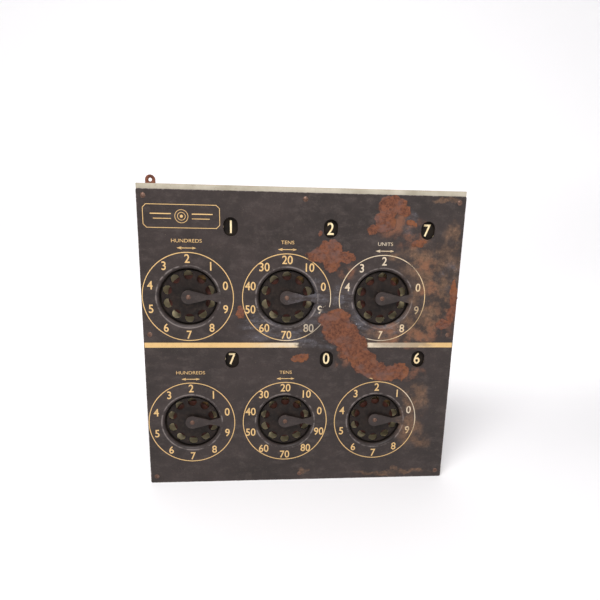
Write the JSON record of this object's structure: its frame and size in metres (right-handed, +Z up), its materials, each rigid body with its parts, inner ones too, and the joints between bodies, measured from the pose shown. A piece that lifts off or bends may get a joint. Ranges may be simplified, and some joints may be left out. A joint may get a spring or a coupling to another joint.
{
  "type": "scoring board",
  "caption": "Wall-hung darts scoring board: dark steel front on a wooden frame, two rows of finger dials that turn numeral discs behind oval windows through gears.",
  "frame": {"origin": "on the bottom face, halfway across the board and halfway through the wooden frame", "axes": "+X to the right seen from the front, +Y from the front into the wall, +Z up"},
  "size_m": [0.4606, 0.038, 0.461],
  "materials": {
    "black_paint": "satin black enamel, worn and rusted in patches",
    "aged_steel": "rusted brown, dull",
    "bright_steel": "dull turned steel",
    "spring_steel": "blued sheet steel",
    "coppered_steel": "copper-washed steel, tarnished",
    "cream_wood": "olive-cream paint over softwood, chipped at the edges",
    "cream_board": "cream-painted plywood",
    "bare_wood": "unpainted softwood",
    "hardboard": "plain brown hardboard",
    "brass": "dull stamped brass",
    "red_fibre": "dark red-brown vulcanised fibre",
    "black_bakelite": "worn dark moulded plastic",
    "disc_black": "matt black card and fibre, with cream numerals on the discs"
  },
  "bodies": {
    "case": {"front_panel": "black_paint", "top_rail": "cream_wood", "bottom_rail": "cream_wood", "left_stile": "cream_wood", "right_stile": "cream_wood", "back_cover": "hardboard", "cover_screws": "aged_steel", "hanger_plate": "coppered_steel", "hanger_screws": "aged_steel", "panel_screws": "aged_steel", "side_screw": "aged_steel", "mechanism_board": "cream_board", "lower_batten": "bare_wood", "upper_batten": "bare_wood", "board_screws": "aged_steel", "dial_axles": "aged_steel", "idler_studs": "bright_steel", "number_studs": "bright_steel", "lever_studs": "bright_steel", "dial_spacers": "bright_steel", "axle_washers": "brass", "retaining_clips": "bright_steel", "axle_nuts": "bright_steel", "detent_springs": "spring_steel", "dust_rings": "disc_black"},
    "dial_upper_hundreds": {"finger_wheel_upper_hundreds": "black_bakelite", "dial_gear_upper_hundreds": "red_fibre"},
    "idler_upper_hundreds": {"idler_gear_upper_hundreds": "brass"},
    "number_upper_hundreds": {"number_disc_upper_hundreds": "disc_black", "number_gear_upper_hundreds": "red_fibre"},
    "dial_upper_tens": {"finger_wheel_upper_tens": "black_bakelite", "dial_gear_upper_tens": "red_fibre"},
    "idler_upper_tens": {"idler_gear_upper_tens": "brass"},
    "number_upper_tens": {"number_disc_upper_tens": "disc_black", "number_gear_upper_tens": "red_fibre"},
    "dial_upper_units": {"finger_wheel_upper_units": "black_bakelite", "dial_gear_upper_units": "red_fibre"},
    "idler_upper_units": {"idler_gear_upper_units": "brass"},
    "number_upper_units": {"number_disc_upper_units": "disc_black", "number_gear_upper_units": "red_fibre"},
    "dial_lower_hundreds": {"finger_wheel_lower_hundreds": "black_bakelite", "dial_gear_lower_hundreds": "red_fibre"},
    "idler_lower_hundreds": {"idler_gear_lower_hundreds": "brass"},
    "number_lower_hundreds": {"number_disc_lower_hundreds": "disc_black", "number_gear_lower_hundreds": "red_fibre"},
    "dial_lower_tens": {"finger_wheel_lower_tens": "black_bakelite", "dial_gear_lower_tens": "red_fibre"},
    "idler_lower_tens": {"idler_gear_lower_tens": "brass"},
    "number_lower_tens": {"number_disc_lower_tens": "disc_black", "number_gear_lower_tens": "red_fibre"},
    "dial_lower_units": {"finger_wheel_lower_units": "black_bakelite", "dial_gear_lower_units": "red_fibre"},
    "idler_lower_units": {"idler_gear_lower_units": "brass"},
    "number_lower_units": {"number_disc_lower_units": "disc_black", "number_gear_lower_units": "red_fibre"},
    "carry_upper_tens": {"carry_lever_upper_tens": "spring_steel"},
    "carry_upper_units": {"carry_lever_upper_units": "spring_steel"},
    "carry_lower_tens": {"carry_lever_lower_tens": "spring_steel"},
    "carry_lower_units": {"carry_lever_lower_units": "spring_steel"}
  },
  "joints": [
    {"name": "dial_upper_hundreds_turn", "type": "hinge", "parent": "case", "child": "dial_upper_hundreds", "pos_m": [-0.1636, 0, 0.2918], "axis": [0, 1, 0], "continuous": true},
    {"name": "idler_upper_hundreds_turn", "type": "hinge", "parent": "case", "child": "idler_upper_hundreds", "pos_m": [-0.14045, 0, 0.32987], "axis": [0, 1, 0], "continuous": true},
    {"name": "number_upper_hundreds_turn", "type": "hinge", "parent": "case", "child": "number_upper_hundreds", "pos_m": [-0.11731, 0, 0.36793], "axis": [0, 1, 0], "continuous": true},
    {"name": "dial_upper_tens_turn", "type": "hinge", "parent": "case", "child": "dial_upper_tens", "pos_m": [-0.0239, 0, 0.2918], "axis": [0, 1, 0], "continuous": true},
    {"name": "idler_upper_tens_turn", "type": "hinge", "parent": "case", "child": "idler_upper_tens", "pos_m": [-0.00076, 0, 0.32987], "axis": [0, 1, 0], "continuous": true},
    {"name": "number_upper_tens_turn", "type": "hinge", "parent": "case", "child": "number_upper_tens", "pos_m": [0.02239, 0, 0.36793], "axis": [0, 1, 0], "continuous": true},
    {"name": "dial_upper_units_turn", "type": "hinge", "parent": "case", "child": "dial_upper_units", "pos_m": [0.1158, 0, 0.2918], "axis": [0, 1, 0], "continuous": true},
    {"name": "idler_upper_units_turn", "type": "hinge", "parent": "case", "child": "idler_upper_units", "pos_m": [0.13895, 0, 0.32987], "axis": [0, 1, 0], "continuous": true},
    {"name": "number_upper_units_turn", "type": "hinge", "parent": "case", "child": "number_upper_units", "pos_m": [0.16209, 0, 0.36793], "axis": [0, 1, 0], "continuous": true},
    {"name": "dial_lower_hundreds_turn", "type": "hinge", "parent": "case", "child": "dial_lower_hundreds", "pos_m": [-0.1636, 0, 0.0994], "axis": [0, 1, 0], "continuous": true},
    {"name": "idler_lower_hundreds_turn", "type": "hinge", "parent": "case", "child": "idler_lower_hundreds", "pos_m": [-0.14045, 0, 0.13747], "axis": [0, 1, 0], "continuous": true},
    {"name": "number_lower_hundreds_turn", "type": "hinge", "parent": "case", "child": "number_lower_hundreds", "pos_m": [-0.11731, 0, 0.17553], "axis": [0, 1, 0], "continuous": true},
    {"name": "dial_lower_tens_turn", "type": "hinge", "parent": "case", "child": "dial_lower_tens", "pos_m": [-0.0239, 0, 0.0994], "axis": [0, 1, 0], "continuous": true},
    {"name": "idler_lower_tens_turn", "type": "hinge", "parent": "case", "child": "idler_lower_tens", "pos_m": [-0.00076, 0, 0.13747], "axis": [0, 1, 0], "continuous": true},
    {"name": "number_lower_tens_turn", "type": "hinge", "parent": "case", "child": "number_lower_tens", "pos_m": [0.02239, 0, 0.17553], "axis": [0, 1, 0], "continuous": true},
    {"name": "dial_lower_units_turn", "type": "hinge", "parent": "case", "child": "dial_lower_units", "pos_m": [0.1158, 0, 0.0994], "axis": [0, 1, 0], "continuous": true},
    {"name": "idler_lower_units_turn", "type": "hinge", "parent": "case", "child": "idler_lower_units", "pos_m": [0.13895, 0, 0.13747], "axis": [0, 1, 0], "continuous": true},
    {"name": "number_lower_units_turn", "type": "hinge", "parent": "case", "child": "number_lower_units", "pos_m": [0.16209, 0, 0.17553], "axis": [0, 1, 0], "continuous": true},
    {"name": "carry_upper_tens_rock", "type": "hinge", "parent": "case", "child": "carry_upper_tens", "pos_m": [-0.04746, 0, 0.36793], "axis": [0, 1, 0], "range_deg": [-6, 6], "stiffness_Nm_per_rad": 0.02},
    {"name": "carry_upper_units_rock", "type": "hinge", "parent": "case", "child": "carry_upper_units", "pos_m": [0.09224, 0, 0.36793], "axis": [0, 1, 0], "range_deg": [-6, 6], "stiffness_Nm_per_rad": 0.02},
    {"name": "carry_lower_tens_rock", "type": "hinge", "parent": "case", "child": "carry_lower_tens", "pos_m": [-0.04746, 0, 0.17553], "axis": [0, 1, 0], "range_deg": [-6, 6], "stiffness_Nm_per_rad": 0.02},
    {"name": "carry_lower_units_rock", "type": "hinge", "parent": "case", "child": "carry_lower_units", "pos_m": [0.09224, 0, 0.17553], "axis": [0, 1, 0], "range_deg": [-6, 6], "stiffness_Nm_per_rad": 0.02}
  ],
  "couplings": [
    {"joint": "idler_upper_hundreds_turn", "follows": "dial_upper_hundreds_turn", "ratio": -1.5385},
    {"joint": "number_upper_hundreds_turn", "follows": "dial_upper_hundreds_turn", "ratio": 1},
    {"joint": "idler_upper_tens_turn", "follows": "dial_upper_tens_turn", "ratio": -1.5385},
    {"joint": "number_upper_tens_turn", "follows": "dial_upper_tens_turn", "ratio": 1},
    {"joint": "idler_upper_units_turn", "follows": "dial_upper_units_turn", "ratio": -1.5385},
    {"joint": "number_upper_units_turn", "follows": "dial_upper_units_turn", "ratio": 1},
    {"joint": "idler_lower_hundreds_turn", "follows": "dial_lower_hundreds_turn", "ratio": -1.5385},
    {"joint": "number_lower_hundreds_turn", "follows": "dial_lower_hundreds_turn", "ratio": 1},
    {"joint": "idler_lower_tens_turn", "follows": "dial_lower_tens_turn", "ratio": -1.5385},
    {"joint": "number_lower_tens_turn", "follows": "dial_lower_tens_turn", "ratio": 1},
    {"joint": "idler_lower_units_turn", "follows": "dial_lower_units_turn", "ratio": -1.5385},
    {"joint": "number_lower_units_turn", "follows": "dial_lower_units_turn", "ratio": 1}
  ]
}
